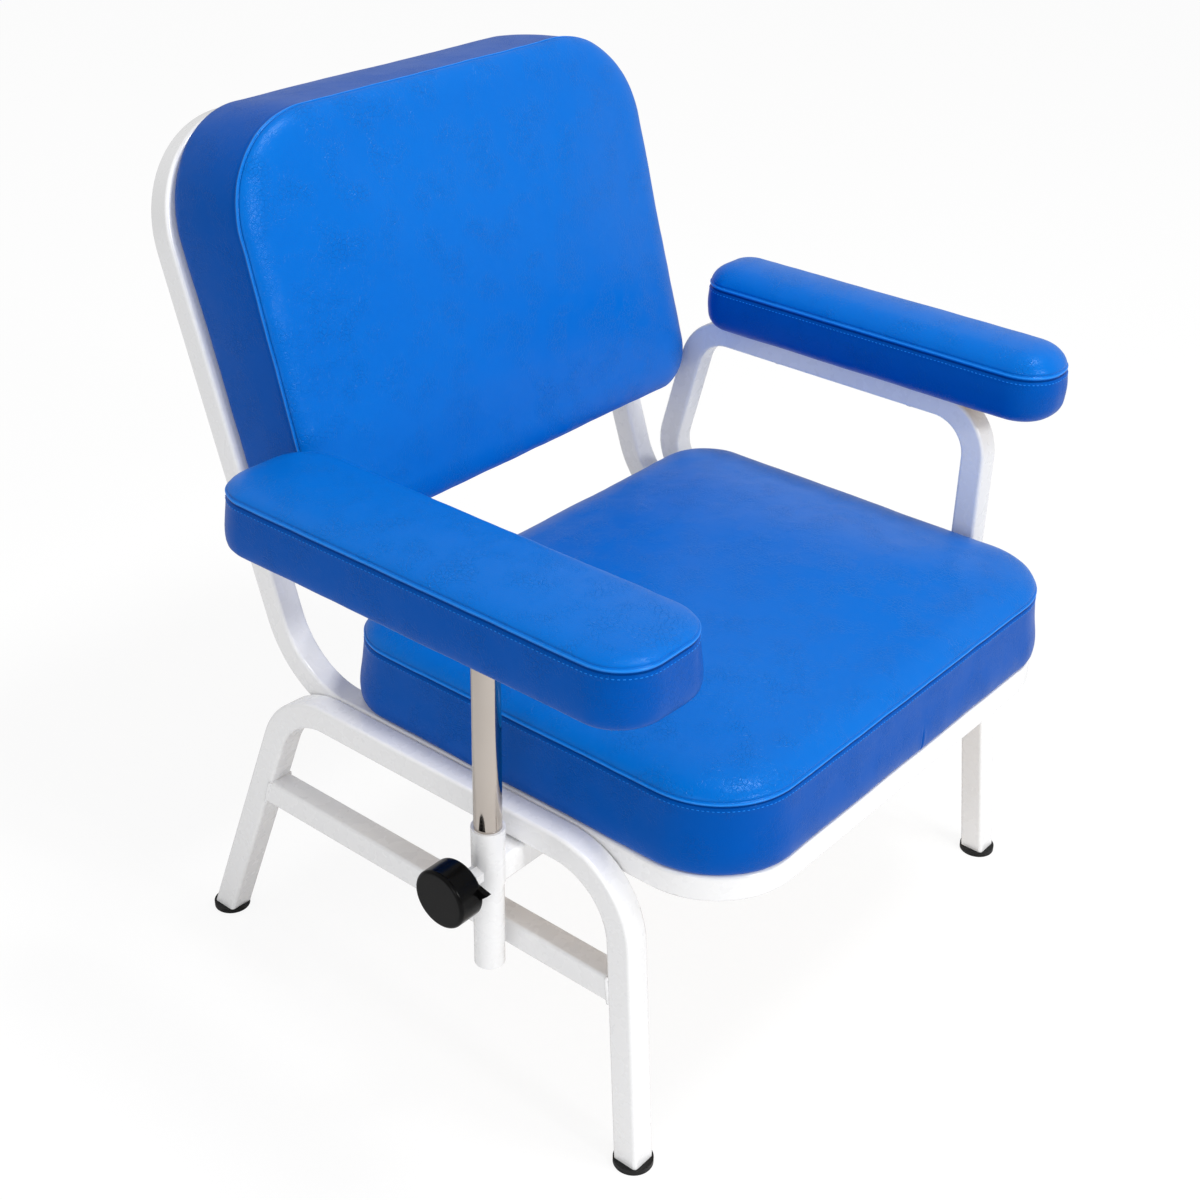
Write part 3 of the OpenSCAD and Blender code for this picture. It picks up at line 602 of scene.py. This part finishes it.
    def stitches(self):
        """Short raised threads along the furrow under the seam."""
        pitch, half, thick = 4.8 * MM, 1.7 * MM, 0.50 * MM
        row = int(np.argmin(np.abs(self.s - STITCH_ROW)))
        line = self.points[row]
        out = grid_normals(self.points)[row]
        steps = np.linalg.norm(np.roll(line, -1, 0) - line, axis=1)
        along = np.concatenate([[0.0], np.cumsum(steps)])
        loop, normal = np.vstack([line, line[:1]]), np.vstack([out, out[:1]])
        count = int(along[-1] / pitch)
        vertices, faces = [], []
        for c in range(count):
            at = (c + 0.5) * along[-1] / count
            middle = np.array([np.interp(at, along, loop[:, k]) for k in range(3)])
            ahead = np.array([np.interp(at + half, along, loop[:, k]) for k in range(3)])
            up = np.array([np.interp(at, along, normal[:, k]) for k in range(3)])
            way = ahead - middle
            way /= np.linalg.norm(way)
            side = np.cross(up, way)
            first = len(vertices)
            for t, wide in ((-1.0, 0.0), (-0.6, 0.85), (0.6, 0.85), (1.0, 0.0)):
                if wide == 0.0:
                    vertices.append(middle + way * half * t - up * thick * 0.8)
                    continue
                for k in range(6):
                    a = math.tau * k / 6
                    vertices.append(middle + way * half * t
                        + (side * math.cos(a) + up * math.sin(a)) * thick * wide)
            for k in range(6):
                m = (k + 1) % 6
                faces.append((first, first + 1 + m, first + 1 + k))
                faces.append((first + 1 + k, first + 1 + m, first + 7 + m, first + 7 + k))
                faces.append((first + 13, first + 7 + k, first + 7 + m))
        piece = new_object(self.name + "_stitches", vertices, faces, THREAD)
        piece.data.transform(self.place)
        dress(piece, self.body)


def grid_normals(points):
    """Outward directions at the points of a loft."""
    around = np.roll(points, -1, 1) - np.roll(points, 1, 1)
    up = np.gradient(points, axis=0)
    normal = np.cross(around, up)
    size = np.linalg.norm(normal, axis=2, keepdims=True)
    normal = normal / np.maximum(size, 1e-12)
    normal[-1] = normal[-2]
    return normal


def merge(thing, distance):
    """Joins vertices that lie closer than that distance."""
    work = bmesh.new()
    work.from_mesh(thing.data)
    bmesh.ops.remove_doubles(work, verts=work.verts, dist=distance)
    work.to_mesh(thing.data)
    work.free()


def apply(thing, modifier):
    """Applies a modifier to its object."""
    bpy.context.view_layer.objects.active = thing
    with bpy.context.temp_override(object=thing, active_object=thing, selected_objects=[thing]):
        bpy.ops.object.modifier_apply(modifier=modifier.name)


# Upholstery, placed from the CAD solids' boxes

def upright(node):
    """Place of a cushion that lies flat: front middle of the lower side of its CAD box."""
    low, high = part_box(node)
    return Matrix.Translation(Vector(((low.x + high.x) / 2, low.y, low.z - 0.3 * MM)))


# The back's line: where it starts over the seat frame, how far it leans and where its cushion begins
RECLINE = math.radians(18.5)
BACK_CORNER = Vector((DRAWN_X, 585 * MM + DRAWN_Y, 345 * MM))
BACK_LOW = 160 * MM
HALF_TUBE = 15 * MM
in_back = Matrix.Translation(BACK_CORNER) @ Matrix.Rotation(-RECLINE, 4, "X")
on_tube = Matrix.Translation(Vector((0, -HALF_TUBE, BACK_LOW)))
back_place = in_back @ on_tube @ Matrix.Rotation(math.pi / 2, 4, "X")

seat = Cushion("seat_upholstery", "seat_cushion", "chair_frame", upright("seat_cushion"),
    size=(0.634, 0.530), radii=(0.094, 0.072), band=0.082, crown=0.038, roll=0.007, board=0.015,
    shoulder=0.042, shoulder_share=0.5, joins=((1.598, 1.0), (0.010, 0.4)), flare=0.004)
back = Cushion("back_upholstery", "back_cushion", "chair_frame", back_place, size=(0.625, 0.452),
    radii=(0.052, 0.118), band=0.095, crown=0.026, roll=0.012, board=0.015, shoulder=0.034,
    shoulder_share=0.55, stitched=False, wedge=0.014, over=0.007, lean=0.018)
right_pad = Cushion("right_arm_upholstery", "right_arm_pad", "swing_arm", upright("right_arm_pad"),
    size=(0.134, 0.530), radii=(0.050, 0.050), band=0.061, crown=0.013, roll=0.010, board=0.012,
    shoulder=0.022, shoulder_share=0.75, step=3.5 * MM, flare=0.002)
left_pad = Cushion("left_arm_upholstery", "left_arm_pad", "chair_frame", upright("left_arm_pad"),
    size=(0.098, 0.468), radii=(0.046, 0.038), band=0.059, crown=0.027, roll=0.022, board=0.012,
    shoulder=0.024, shoulder_share=0.6, step=3.0 * MM)
for cushion in (seat, back, right_pad, left_pad):
    cushion.build()


# Weld beads where the lower rails meet the legs

def bead(name, path):
    """Closed, rippled bead of weld along the corners of a path."""
    radius = 2.2 * MM
    corners = [Vector(p) for p in path]
    line = []
    for i, a in enumerate(corners):
        b = corners[(i + 1) % len(corners)]
        count = max(int((b - a).length / (0.8 * MM)), 2)
        line += [a.lerp(b, k / count) for k in range(count)]
    middle = sum(corners, Vector()) / len(corners)
    normal = (corners[1] - corners[0]).cross(corners[2] - corners[1]).normalized()
    points, faces, sides = [], [], 8
    for i, p in enumerate(line):
        way = (line[(i + 1) % len(line)] - line[i - 1]).normalized()
        out = way.cross(normal).normalized()
        if out.dot(p - middle) < 0:
            out = -out
        swell = radius * (1.0 + 0.10 * math.sin(math.tau * i / 3.2) + 0.25 * noise.noise(p * 160.0))
        for k in range(sides):
            a = math.tau * k / sides
            points.append(p + (out * math.cos(a) + normal * math.sin(a)) * swell)
    for i in range(len(line)):
        for k in range(sides):
            m, n = (i + 1) % len(line), (k + 1) % sides
            faces.append((i * sides + k, i * sides + n, m * sides + n, m * sides + k))
    dress(new_object(name, points, faces, PAINT), "chair_frame")


def tube_end(node, axis, side):
    """Corners of the end of a square tube that runs along an axis, a little inside its outline."""
    mesh, world = nodes[node].data, nodes[node].matrix_world
    points = [world @ v.co for v in mesh.vertices]
    low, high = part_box(node)
    across = [k for k in range(3) if k != axis]
    corners = []
    for a, b in ((0, 0), (1, 0), (1, 1), (0, 1)):
        goal = ((low, high)[a][across[0]], (low, high)[b][across[1]])
        near = [p for p in points if math.dist((p[across[0]], p[across[1]]), goal) < 9 * MM]
        best = max(near, key=lambda p: side * p[axis])
        corner = Vector(best)
        corner[across[0]] += (goal[0] - corner[across[0]]) * 0.6
        corner[across[1]] += (goal[1] - corner[across[1]]) * 0.6
        corners.append(corner)
    return corners


for node in ("right_lower_rail", "left_lower_rail"):
    for side, end in ((-1, "front"), (1, "rear")):
        bead(node + "_" + end + "_weld", tube_end(node, 1, side))


# Floor, light and camera

def backdrop():
    """Pale floor that keeps the object's shadow and shows white to the camera."""
    floor_mesh = bpy.data.meshes.new("floor")
    half = 30.0
    corners = [(-half, -half, 0), (half, -half, 0), (half, half, 0), (-half, half, 0)]
    floor_mesh.from_pydata(corners, [], [(0, 1, 2, 3)])
    floor = bpy.data.objects.new("floor", floor_mesh)
    bpy.context.scene.collection.objects.link(floor)
    floor.location.z = -0.2 * MM
    s = Shader("pale_floor")
    seen = s.add("ShaderNodeLightPath").outputs["Is Camera Ray"]
    tone = s.mix(seen, (0.85, 0.85, 0.85), (0.15, 0.15, 0.15))
    s.out(Base_Color=tone, Roughness=0.9, Specular_IOR_Level=0.0)
    glow = s.add("ShaderNodeEmission")
    s.link(s.math("MULTIPLY", seen, 0.87), glow.inputs["Strength"])
    both = s.add("ShaderNodeAddShader")
    s.link(s.main.outputs["BSDF"], both.inputs[0])
    s.link(glow.outputs["Emission"], both.inputs[1])
    s.link(both.outputs["Shader"], s.tree.nodes["Material Output"].inputs["Surface"])
    floor_mesh.materials.append(s.material)


def sky():
    """Even light from all sides; the camera sees white."""
    world = bpy.data.worlds.new("studio")
    bpy.context.scene.world = world
    world.use_nodes = True
    tree = world.node_tree
    light = tree.nodes["Background"]
    light.inputs["Color"].default_value = (1.0, 1.0, 1.0, 1.0)
    light.inputs["Strength"].default_value = 0.60
    white = tree.nodes.new("ShaderNodeBackground")
    white.inputs["Color"].default_value = (1.0, 1.0, 1.0, 1.0)
    path = tree.nodes.new("ShaderNodeLightPath")
    mix = tree.nodes.new("ShaderNodeMixShader")
    tree.links.new(path.outputs["Is Camera Ray"], mix.inputs["Fac"])
    tree.links.new(light.outputs["Background"], mix.inputs[1])
    tree.links.new(white.outputs["Background"], mix.inputs[2])
    tree.links.new(mix.outputs["Shader"], tree.nodes["World Output"].inputs["Surface"])


def lamp(name, place, size, level):
    """Soft box aimed at the seat, whose light on a surface that faces it renders at that level."""
    data = bpy.data.lights.new(name, "AREA")
    data.shape = "RECTANGLE"
    data.size, data.size_y = size
    thing = bpy.data.objects.new(name, data)
    bpy.context.scene.collection.objects.link(thing)
    thing.location = place
    way = Vector((0.0, 0.0, 0.5)) - Vector(place)
    data.energy = level * math.pi ** 2 * way.length_squared
    thing.rotation_euler = way.to_track_quat("-Z", "Y").to_euler()


def camera():
    """The photo's camera, fitted to the frame's edges."""
    azimuth, elevation, roll = (math.radians(a) for a in (-50.6, 30.0, 1.2))
    target = Vector((-16.2 * MM + DRAWN_X, 400.2 * MM + DRAWN_Y, 396.0 * MM))
    distance, focal, frame_px = 2122.6 * MM, 1851.0, 1200.0
    back_way = Vector((math.sin(azimuth) * math.cos(elevation), -math.cos(azimuth) * math.cos(elevation),
        math.sin(elevation)))
    right = (-back_way).cross(Vector((0, 0, 1))).normalized()
    up = right.cross(-back_way)
    turned_right = right * math.cos(roll) + up * math.sin(roll)
    turned_up = up * math.cos(roll) - right * math.sin(roll)
    data = bpy.data.cameras.new("camera")
    data.sensor_fit = "HORIZONTAL"
    data.sensor_width = 36.0
    data.lens = focal / frame_px * data.sensor_width
    data.clip_end = 100.0
    thing = bpy.data.objects.new("camera", data)
    bpy.context.scene.collection.objects.link(thing)
    turn = Matrix((turned_right, turned_up, back_way)).transposed().to_4x4()
    thing.matrix_world = Matrix.Translation(target + back_way * distance) @ turn
    bpy.context.scene.camera = thing


backdrop()
sky()
lamp("key", (-0.3, -3.6, 2.3), (0.45, 0.45), 0.26)
lamp("fill", (-3.3, -1.4, 1.3), (1.6, 1.0), 0.10)
lamp("top", (0.5, -1.3, 3.6), (0.7, 0.7), 0.44)
camera()
bpy.context.scene.view_settings.view_transform = "Standard"
